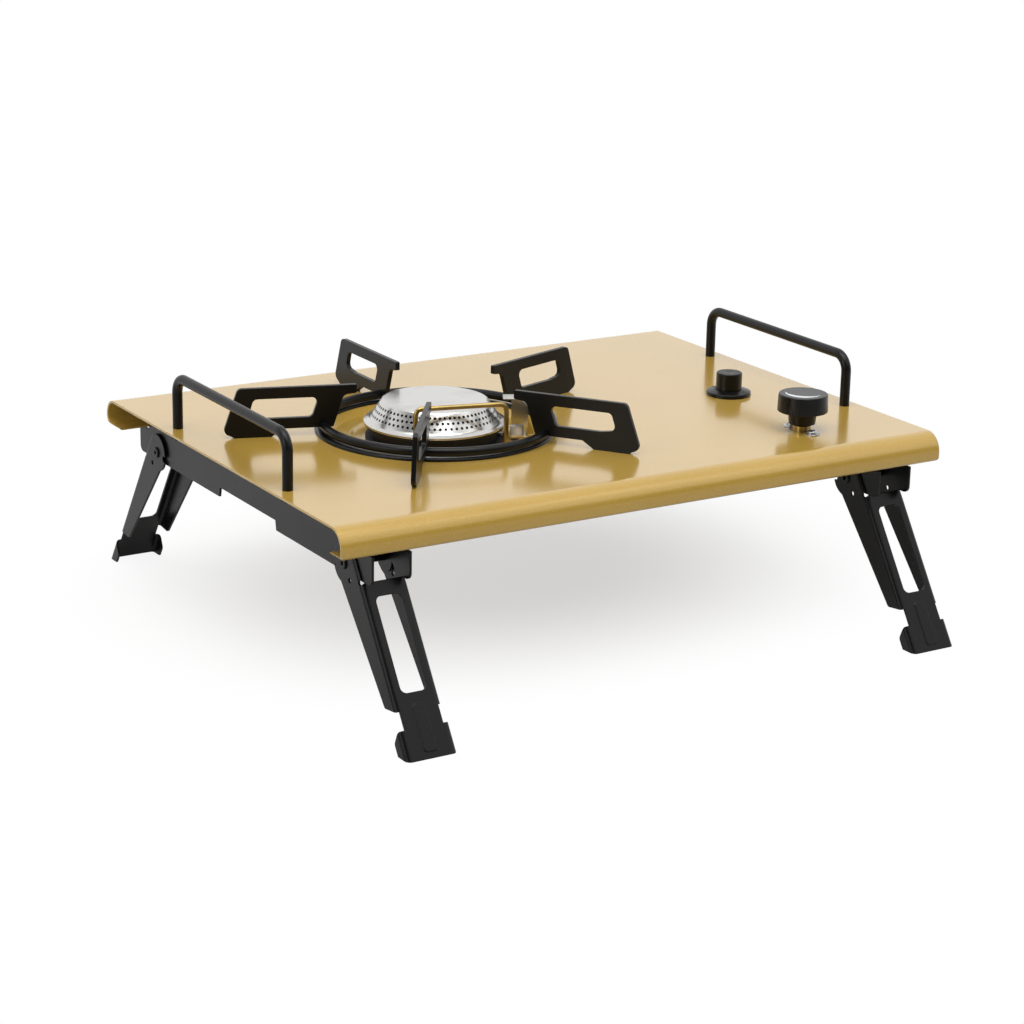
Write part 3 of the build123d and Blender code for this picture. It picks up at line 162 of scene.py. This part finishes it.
colour = addNode(tree, "ShaderNodeMix", {
    0: flakeShare.outputs[0], 6: ground.outputs[2], 7: linear(paintLook["flake"])}, data_type="RGBA")
peel = addNode(tree, "ShaderNodeTexNoise",
               {"Vector": place, "Scale": 1 / (paintLook["peelMm"] * mm), "Detail": 1.0})
smooth, rough = paintLook["roughness"]
soften = addNode(tree, "ShaderNodeMapRange", {
    "Value": peel.outputs[0], "To Min": smooth, "To Max": rough})
edge = addNode(tree, "ShaderNodeBevel", {"Radius": paintLook["edgeMm"] * mm}, samples=edgeSamples)
bump = addNode(tree, "ShaderNodeBump", {
    "Height": peel.outputs[0], "Strength": paintLook["peelBump"],
    "Distance": paintLook["peelDepthMm"] * mm, "Normal": edge.outputs[0]})
tree.links.new(colour.outputs[2], shader.inputs["Base Color"])
tree.links.new(soften.outputs[0], shader.inputs["Roughness"])
tree.links.new(bump.outputs[0], shader.inputs["Normal"])
tree.links.new(bump.outputs[0], shader.inputs["Coat Normal"])

# Powder coat baked on steel: deep black with a fine orange-peel grain, edges rounded by the coat. Along
# the edges a greyer tone is painted, partly rubbed wear and partly a painted highlight
powderLook = {
    "body": "#0A0A0A", "edgeWearAndHighlight": "#222221",
    "grainMm": 0.8,    # real grain is about 0.3 mm, drawn coarser so that it shows
    "grainBump": 0.45, "grainDepthMm": 0.03, "patchMm": 24.0, "roughness": (0.27, 0.36),
    "edgeMm": 0.75,
    "edgeWearAndHighlightShare": (0.99, 0.75, 0.7),    # cosine of the edge's turn where it starts and ends, and the most
}
blackPowder, tree, shader, place = startMaterial("bakedPowderCoat", {
    "IOR": 1.46, "Specular IOR Level": 0.33})
grain = addNode(tree, "ShaderNodeTexNoise",
                {"Vector": place, "Scale": 1 / (powderLook["grainMm"] * mm), "Detail": 2.0})
patch = addNode(tree, "ShaderNodeTexNoise",
                {"Vector": place, "Scale": 1 / (powderLook["patchMm"] * mm), "Detail": 3.0})
edge = addNode(tree, "ShaderNodeBevel", {"Radius": powderLook["edgeMm"] * mm}, samples=edgeSamples)
face = addNode(tree, "ShaderNodeNewGeometry")
bend = addNode(tree, "ShaderNodeVectorMath",
               {0: edge.outputs[0], 1: face.outputs["Normal"]}, operation="DOT_PRODUCT")
start, end, most = powderLook["edgeWearAndHighlightShare"]
atEdge = addNode(tree, "ShaderNodeMapRange", {
    "Value": bend.outputs["Value"], "From Min": start, "From Max": end, "To Max": most})
# Greyer tone along the edges, in patches: part rubbed wear, part painted highlight
edgeWearAndHighlightMask = addNode(tree, "ShaderNodeMath", {0: atEdge.outputs[0], 1: patch.outputs[0]}, operation="MULTIPLY")
colour = addNode(tree, "ShaderNodeMix", {
    0: edgeWearAndHighlightMask.outputs[0], 6: linear(powderLook["body"]), 7: linear(powderLook["edgeWearAndHighlight"])}, data_type="RGBA")
smooth, rough = powderLook["roughness"]
soften = addNode(tree, "ShaderNodeMapRange", {
    "Value": patch.outputs[0], "To Min": smooth, "To Max": rough})
bump = addNode(tree, "ShaderNodeBump", {
    "Height": grain.outputs[0], "Strength": powderLook["grainBump"],
    "Distance": powderLook["grainDepthMm"] * mm, "Normal": edge.outputs[0]})
tree.links.new(colour.outputs[2], shader.inputs["Base Color"])
tree.links.new(soften.outputs[0], shader.inputs["Roughness"])
tree.links.new(bump.outputs[0], shader.inputs["Normal"])

# Stainless sheet, pressed and polished on a lathe: bright, with faint rings round the axis
steelLook = {
    "body": "#D3D2CF", "smoke": "#A9A49B", "smokeMm": 16.0, "smokeShare": (0.5, 0.8, 0.35),
    "ringMm": 0.5, "ringBump": 0.3, "ringDepthMm": 0.006, "roughness": (0.17, 0.28),
}
spunSteel, tree, shader, place = startMaterial("spunStainless", {"Metallic": 1.0})
centred = addNode(tree, "ShaderNodeMapping", {
    "Vector": place, "Location": (-burnerSpot.x, -burnerSpot.y, 0), "Scale": (1, 1, 0)})
reach = addNode(tree, "ShaderNodeVectorMath", {0: centred.outputs[0]}, operation="LENGTH")
rings = addNode(tree, "ShaderNodeTexNoise", {
    "W": reach.outputs["Value"], "Scale": 1 / (steelLook["ringMm"] * mm), "Detail": 2.0,
}, noise_dimensions="1D")
smoke = addNode(tree, "ShaderNodeTexNoise",
                {"Vector": place, "Scale": 1 / (steelLook["smokeMm"] * mm), "Detail": 3.0})
start, end, most = steelLook["smokeShare"]
smokeShare = addNode(tree, "ShaderNodeMapRange", {
    "Value": smoke.outputs[0], "From Min": start, "From Max": end, "To Max": most})
colour = addNode(tree, "ShaderNodeMix", {
    0: smokeShare.outputs[0], 6: linear(steelLook["body"]), 7: linear(steelLook["smoke"]),
}, data_type="RGBA")
smooth, rough = steelLook["roughness"]
soften = addNode(tree, "ShaderNodeMapRange", {
    "Value": rings.outputs[0], "To Min": smooth, "To Max": rough})
bump = addNode(tree, "ShaderNodeBump", {
    "Height": rings.outputs[0], "Strength": steelLook["ringBump"],
    "Distance": steelLook["ringDepthMm"] * mm})
tree.links.new(colour.outputs[2], shader.inputs["Base Color"])
tree.links.new(soften.outputs[0], shader.inputs["Roughness"])
tree.links.new(bump.outputs[0], shader.inputs["Normal"])

# Die-cast burner base, blackened: dull, with the pitted skin of a casting
burnerCasting = twoTone("blackenedCasting", {"IOR": 1.5}, {
    "tones": ("#0E0D0D", "#201E1B"), "blendMm": 9.0, "blendDetail": 3.0, "share": (0.5, 0.75, 0.5),
    "skinMm": 1.4, "skinDetail": 4.0, "bump": 0.5, "depthMm": 0.08,
    "roughFrom": "skin", "roughness": (0.5, 0.68),
})

# Drawn brass tube and turned brass fittings: warm yellow, a little browned by the heat
drawnBrass = twoTone("drawnBrass", {"Metallic": 1.0}, {
    "tones": ("#B59C60", "#8A7344"), "blendMm": 14.0, "blendDetail": 3.0, "share": (0.42, 0.75, 0.7),
    "skinMm": 0.7, "skinDetail": 2.0, "bump": 0.25, "depthMm": 0.01,
    "roughFrom": "blend", "roughness": (0.26, 0.4),
})

# Bright zinc plate on small steel hardware: cool silver with a faint cloudy bloom
zincPlate = twoTone("brightZincPlate", {"Metallic": 1.0}, {
    "tones": ("#C9CBCD", "#8F9396"), "blendMm": 2.4, "blendDetail": 3.0, "share": (0.45, 0.8, 0.6),
    "skinMm": 2.4, "skinDetail": 3.0, "bump": 0.3, "depthMm": 0.02,
    "roughFrom": "blend", "roughness": (0.22, 0.4),
})

# Moulded phenolic knob: near black, with a fine spark-eroded texture that softens the light
knobPlastic = twoTone("mouldedPhenolic", {"IOR": 1.5, "Specular IOR Level": 0.3}, {
    "tones": ("#0B0A0A", "#181716"), "blendMm": 8.0, "blendDetail": 3.0, "share": (0.45, 0.8, 0.6),
    "skinMm": 0.6,    # real texture is about 0.1 mm, drawn coarser so that it shows
    "skinDetail": 2.0, "bump": 0.3, "depthMm": 0.02, "edgeMm": 0.4,
    "roughFrom": "blend", "roughness": (0.2, 0.28),
})

# Moulded ABS of the igniter: black and smoother than the knob, with a soft moulded sheen
igniterAbs = twoTone("mouldedAbs", {"IOR": 1.5, "Specular IOR Level": 0.3}, {
    "tones": ("#0A0A09", "#161514"), "blendMm": 11.0, "blendDetail": 3.0, "share": (0.45, 0.8, 0.5),
    "skinMm": 1.1, "skinDetail": 1.0, "bump": 0.2, "depthMm": 0.012,
    "roughFrom": "blend", "roughness": (0.24, 0.34),
})

# Glazed steatite ceramic: warm white under a glassy skin with a few pale brown specks
glazedCeramic = twoTone("glazedSteatite", {"IOR": 1.55, "Coat Weight": 0.6, "Coat Roughness": 0.06}, {
    "tones": ("#ECE8DF", "#B8A88C"), "blendMm": 0.7, "blendDetail": 2.0, "share": (0.64, 0.74, 0.7),
    "skinMm": 4.0, "skinDetail": 1.0, "bump": 0.3, "depthMm": 0.03,
    "roughFrom": "skin", "roughness": (0.14, 0.24),
})

# Extruded silicone sleeve: soft dull black that holds a little dust
siliconeSleeve = twoTone("extrudedSilicone", {"IOR": 1.41}, {
    "tones": ("#1D1C1C", "#45423E"), "blendMm": 5.0, "blendDetail": 4.0, "share": (0.5, 0.8, 0.5),
    "skinMm": 0.8, "skinDetail": 2.0, "bump": 0.3, "depthMm": 0.03,
    "roughFrom": "blend", "roughness": (0.5, 0.7),
})

# Painted highlight on the knob's top: a thin pale silver film, a little patchy
knobPaintedHighlight = twoTone("paintedHighlightFilm", {"Metallic": 0.3, "IOR": 1.5}, {
    "tones": ("#E6E8EA", "#B9BCBE"), "blendMm": 1.6, "blendDetail": 3.0, "share": (0.5, 0.8, 0.7),
    "skinMm": 1.6, "skinDetail": 3.0, "bump": 0.2, "depthMm": 0.01,
    "roughFrom": "blend", "roughness": (0.32, 0.48),
})
print("stage: materials made")

finishOf = {
    "gold_paint": goldPaint, "black_coat": blackPowder, "burner_black": burnerCasting,
    "polished_steel": spunSteel, "brass": drawnBrass, "zinc_steel": zincPlate,
    "knob_plastic": knobPlastic, "button_plastic": igniterAbs, "insulator": glazedCeramic,
    "lead_sleeve": siliconeSleeve,
}
for row in frame["record"]["subparts"]:
    mesh = frame["nodes"][row["node"]].data
    mesh.materials.clear()
    mesh.materials.append(finishOf[row["material_slot"]])
print("stage: nodes dressed")

# Painted highlight: a pale crescent laid on the knob's top on the side towards the camera, where the rim
# of its dished top catches the light, widest in the middle of its sweep
crescent = {
    "radiusMm": 12.0, "widthMm": 3.6, "thinnest": 0.06, "filmMm": 0.08,
    "middleDeg": -140.0, "sweepDeg": 165.0, "steps": 36,
}
bm = bmesh.new()
start = radians(crescent["middleDeg"] - crescent["sweepDeg"] / 2)
outward = Vector((cos(start), sin(start), 0))
centre = Vector((knobSpot.x, knobSpot.y, knobHigh.z))
rimVert = bm.verts.new(centre + outward * crescent["radiusMm"] * mm)
innerVert = bm.verts.new(centre + outward * (crescent["radiusMm"] - crescent["widthMm"]) * mm)
line = bm.edges.new((rimVert, innerVert))
bmesh.ops.spin(bm, geom=[rimVert, innerVert, line], cent=centre, axis=(0, 0, 1),
               angle=radians(crescent["sweepDeg"]), steps=crescent["steps"])
midRadius = (crescent["radiusMm"] - crescent["widthMm"] / 2) * mm
for vert in bm.verts:
    arm = vert.co - centre
    if arm.length < midRadius:
        away = (atan2(arm.y, arm.x) - radians(crescent["middleDeg"]) + pi) % (2 * pi) - pi
        share = max(cos(away / radians(crescent["sweepDeg"]) * pi), crescent["thinnest"])
        vert.co = centre + arm.normalized() * (crescent["radiusMm"] - share * crescent["widthMm"]) * mm
film = bmesh.ops.extrude_face_region(bm, geom=bm.faces[:])
filmVerts = [part for part in film["geom"] if isinstance(part, bmesh.types.BMVert)]
bmesh.ops.translate(bm, verts=filmVerts, vec=(0, 0, crescent["filmMm"] * mm))
finishPiece(bm, "knob_painted_highlight", knobPaintedHighlight, "knob")

# Plain washers under the two valve screws, turned from a small section with rounded corners
washer = {
    "innerMm": 3.2, "outerMm": 4.9, "thickMm": 0.7,
    "cornerShare": 0.2, "cornerSteps": 2, "steps": 48,
}
screwLow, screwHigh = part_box("valve_screws")
screwReach = screwHigh.x - screwLow.x
for number, screwY in enumerate((screwLow.y + screwReach / 2, screwHigh.y - screwReach / 2)):
    bm = bmesh.new()
    bmesh.ops.create_grid(bm, x_segments=1, y_segments=1, size=0.5)
    bmesh.ops.bevel(bm, geom=bm.verts[:], offset=washer["cornerShare"], affect="VERTICES",
                    segments=washer["cornerSteps"], profile=0.5, material=-1)
    bmesh.ops.delete(bm, geom=bm.faces[:], context="FACES_ONLY")
    wide = (washer["outerMm"] - washer["innerMm"]) * mm
    upright = Matrix.Rotation(pi / 2, 4, "X") @ Matrix.Diagonal((wide, washer["thickMm"] * mm, 1, 1))
    bmesh.ops.transform(bm, matrix=upright, verts=bm.verts[:])
    spot = Vector((knobSpot.x, screwY, deckTop + washer["thickMm"] * mm / 2))
    arm = Vector(((washer["outerMm"] + washer["innerMm"]) * mm / 2, 0, 0))
    bmesh.ops.translate(bm, verts=bm.verts[:], vec=spot + arm)
    bmesh.ops.spin(bm, geom=bm.verts[:] + bm.edges[:], cent=spot, axis=(0, 0, 1), angle=2 * pi,
                   steps=washer["steps"], use_merge=True)
    finishPiece(bm, "valve_washer_%d" % (number + 1), zincPlate, "frame")
print("stage: small pieces made")

# Studio: white wall behind, dimmer towards the camera; even soft fill on what faces away from
# the lamps
studio = {
    "fill": 0.44, "frontShine": 0.05, "backShine": 1.0,
    "towards": (0.52, 0.84, 0.15), "turnsFrom": -0.35, "turnsTo": 0.2,
}

# Floor: pale card that shows white to the camera and keeps the soft shadow under the stove;
# what mirrors it sees a tone that darkens towards the camera
floorLook = {
    "card": "#F4F3F1", "fibreMm": 6.0, "fibreTone": 0.98, "halfM": 9.0, "tiles": 8, "gapMm": 0.2,
    "bounce": 0.45,    # tone of the light that the card throws back up
    # share of plain white under the stove, which rises to all white further out
    "glow": {"share": 0.56, "nearM": 0.08, "farM": 0.36, "centre": (0.02, 0.07), "stretch": 1.3},
    "mirror": {"share": 0.25, "nearM": 0.35, "farM": 0.75, "centre": (0.0, 0.0), "stretch": 1.0},
    "frontTone": 0.45, "backTone": 0.8, "toneFromM": -0.45, "toneToM": 0.15,
}
bm = bmesh.new()
bmesh.ops.create_grid(bm, x_segments=floorLook["tiles"], y_segments=floorLook["tiles"],
                      size=floorLook["halfM"])
bmesh.ops.translate(bm, verts=bm.verts[:], vec=(0, 0, cadBox[0][2] - floorLook["gapMm"] * mm))
mesh = bpy.data.meshes.new("floor")
bm.to_mesh(mesh)
bm.free()
floor = bpy.data.objects.new("floor", mesh)
bpy.context.scene.collection.objects.link(floor)
card, tree, shader, place = startMaterial("paleCard", {"Roughness": 0.9, "Specular IOR Level": 0.1})
fibre = addNode(tree, "ShaderNodeTexNoise",
                {"Vector": place, "Scale": 1 / (floorLook["fibreMm"] * mm), "Detail": 3.0})
tone = addNode(tree, "ShaderNodeMapRange", {
    "Value": fibre.outputs[0], "To Min": floorLook["fibreTone"], "To Max": 1.0})
colour = addNode(tree, "ShaderNodeMix", {
    0: 1.0, 6: linear(floorLook["card"]), 7: tone.outputs[0]}, data_type="RGBA", blend_type="MULTIPLY")
seen = addNode(tree, "ShaderNodeLightPath")
mirrored = addNode(tree, "ShaderNodeMath", {
    0: seen.outputs["Is Glossy Ray"], 1: seen.outputs["Is Transmission Ray"]}, operation="MAXIMUM")
behind = addNode(tree, "ShaderNodeVectorMath", {0: place, 1: studio["towards"]}, operation="DOT_PRODUCT")
depthTone = addNode(tree, "ShaderNodeMapRange", {
    "Value": behind.outputs["Value"],
    "From Min": floorLook["toneFromM"], "From Max": floorLook["toneToM"],
    "To Min": floorLook["frontTone"], "To Max": floorLook["backTone"],
}, interpolation_type="SMOOTHSTEP")
bounceColour = (floorLook["bounce"],) * 3 + (1.0,)
dimmed = addNode(tree, "ShaderNodeMix", {
    0: seen.outputs["Is Diffuse Ray"], 6: colour.outputs[2], 7: bounceColour}, data_type="RGBA")
toned = addNode(tree, "ShaderNodeMix", {
    0: mirrored.outputs[0], 6: dimmed.outputs[2], 7: depthTone.outputs[0]}, data_type="RGBA")
tree.links.new(toned.outputs[2], shader.inputs["Base Color"])
whiteShares = []
for ray, look in ((seen.outputs["Is Camera Ray"], floorLook["glow"]),
                  (mirrored.outputs[0], floorLook["mirror"])):
    shifted = addNode(tree, "ShaderNodeMapping", {
        "Vector": place, "Location": (-look["centre"][0], -look["centre"][1] * look["stretch"], 0),
        "Scale": (1, look["stretch"], 1)})
    away = addNode(tree, "ShaderNodeVectorMath", {0: shifted.outputs[0]}, operation="LENGTH")
    rise = addNode(tree, "ShaderNodeMapRange", {
        "Value": away.outputs["Value"], "From Min": look["nearM"], "From Max": look["farM"],
        "To Min": look["share"], "To Max": 1.0}, interpolation_type="SMOOTHSTEP")
    part = addNode(tree, "ShaderNodeMath", {0: ray, 1: rise.outputs[0]}, operation="MULTIPLY")
    whiteShares.append(part.outputs[0])
whiteShare = addNode(tree, "ShaderNodeMath", {0: whiteShares[0], 1: whiteShares[1]}, operation="MAXIMUM")
bright = addNode(tree, "ShaderNodeMix", {
    0: mirrored.outputs[0], 2: 1.0, 3: depthTone.outputs[0]}, data_type="FLOAT")
white = addNode(tree, "ShaderNodeEmission", {"Color": (1, 1, 1, 1), "Strength": bright.outputs[0]})
blendIn = addNode(tree, "ShaderNodeMixShader", {
    0: whiteShare.outputs[0], 1: shader.outputs[0], 2: white.outputs[0]})
tree.links.new(blendIn.outputs[0], tree.nodes["Material Output"].inputs["Surface"])
mesh.materials.append(card)

# Backdrop: white to the camera, the studio's own levels to everything else
world = bpy.data.worlds.new("studio")
world.use_nodes = True
bpy.context.scene.world = world
tree = world.node_tree
backdrop = tree.nodes["Background"]
backdrop.inputs["Color"].default_value = (1, 1, 1, 1)
way = addNode(tree, "ShaderNodeTexCoord").outputs["Generated"]
facing = addNode(tree, "ShaderNodeVectorMath", {0: way, 1: studio["towards"]}, operation="DOT_PRODUCT")
shine = addNode(tree, "ShaderNodeMapRange", {
    "Value": facing.outputs["Value"],
    "From Min": studio["turnsFrom"], "From Max": studio["turnsTo"],
    "To Min": studio["frontShine"], "To Max": studio["backShine"],
}, interpolation_type="SMOOTHSTEP")
seen = addNode(tree, "ShaderNodeLightPath")
level = addNode(tree, "ShaderNodeMix", {
    0: seen.outputs["Is Diffuse Ray"], 2: shine.outputs[0], 3: studio["fill"]}, data_type="FLOAT")
shown = addNode(tree, "ShaderNodeMix", {
    0: seen.outputs["Is Camera Ray"], 2: level.outputs[0], 3: 1.0}, data_type="FLOAT")
tree.links.new(shown.outputs[0], backdrop.inputs["Strength"])

# Soft boxes, in metres and watts, all turned to the middle of the stove
stoveMiddle = Vector((0, 0, 0.1))
lamps = {
    "overheadBox": {"spot": (-0.3, -0.4, 1.9), "size": (1.7, 1.3), "watts": 25.0},
    "leftBox": {"spot": (-1.7, -0.25, 0.75), "size": (1.0, 0.8), "watts": 6.5},
    "frontBox": {"spot": (0.55, -1.5, 1.45), "size": (2.0, 1.6), "watts": 8.0},
}
for name, lamp in lamps.items():
    light = bpy.data.lights.new(name, "AREA")
    light.shape = "RECTANGLE"
    light.size, light.size_y = lamp["size"]
    light.energy = lamp["watts"]
    holder = bpy.data.objects.new(name, light)
    holder.location = lamp["spot"]
    holder.rotation_euler = (stoveMiddle - Vector(lamp["spot"])).to_track_quat("-Z", "Y").to_euler()
    bpy.context.scene.collection.objects.link(holder)

# Camera at the photograph's angle
shot = {
    "spot": (-0.9186, -1.4760, 0.6050), "lensMm": 93.95, "sensorMm": 36.0,
    "azimuthDeg": -31.779, "elevationDeg": 17.301, "rollDeg": 1.094,
}
turn, tilt, roll = (radians(shot[name]) for name in ("azimuthDeg", "elevationDeg", "rollDeg"))
back = Vector((sin(turn) * cos(tilt), -cos(turn) * cos(tilt), sin(tilt)))
right = Vector((cos(turn), sin(turn), 0))
up = back.cross(right)
right, up = right * cos(roll) + up * sin(roll), up * cos(roll) - right * sin(roll)
lens = bpy.data.cameras.new("shot")
lens.lens = shot["lensMm"]
lens.sensor_width = shot["sensorMm"]
camera = bpy.data.objects.new("shot", lens)
camera.matrix_world = Matrix((right, up, back)).transposed().to_4x4()
camera.location = shot["spot"]
bpy.context.scene.collection.objects.link(camera)
bpy.context.scene.camera = camera
bpy.context.scene.view_settings.view_transform = "Standard"
print("stage: floor, light and camera set")
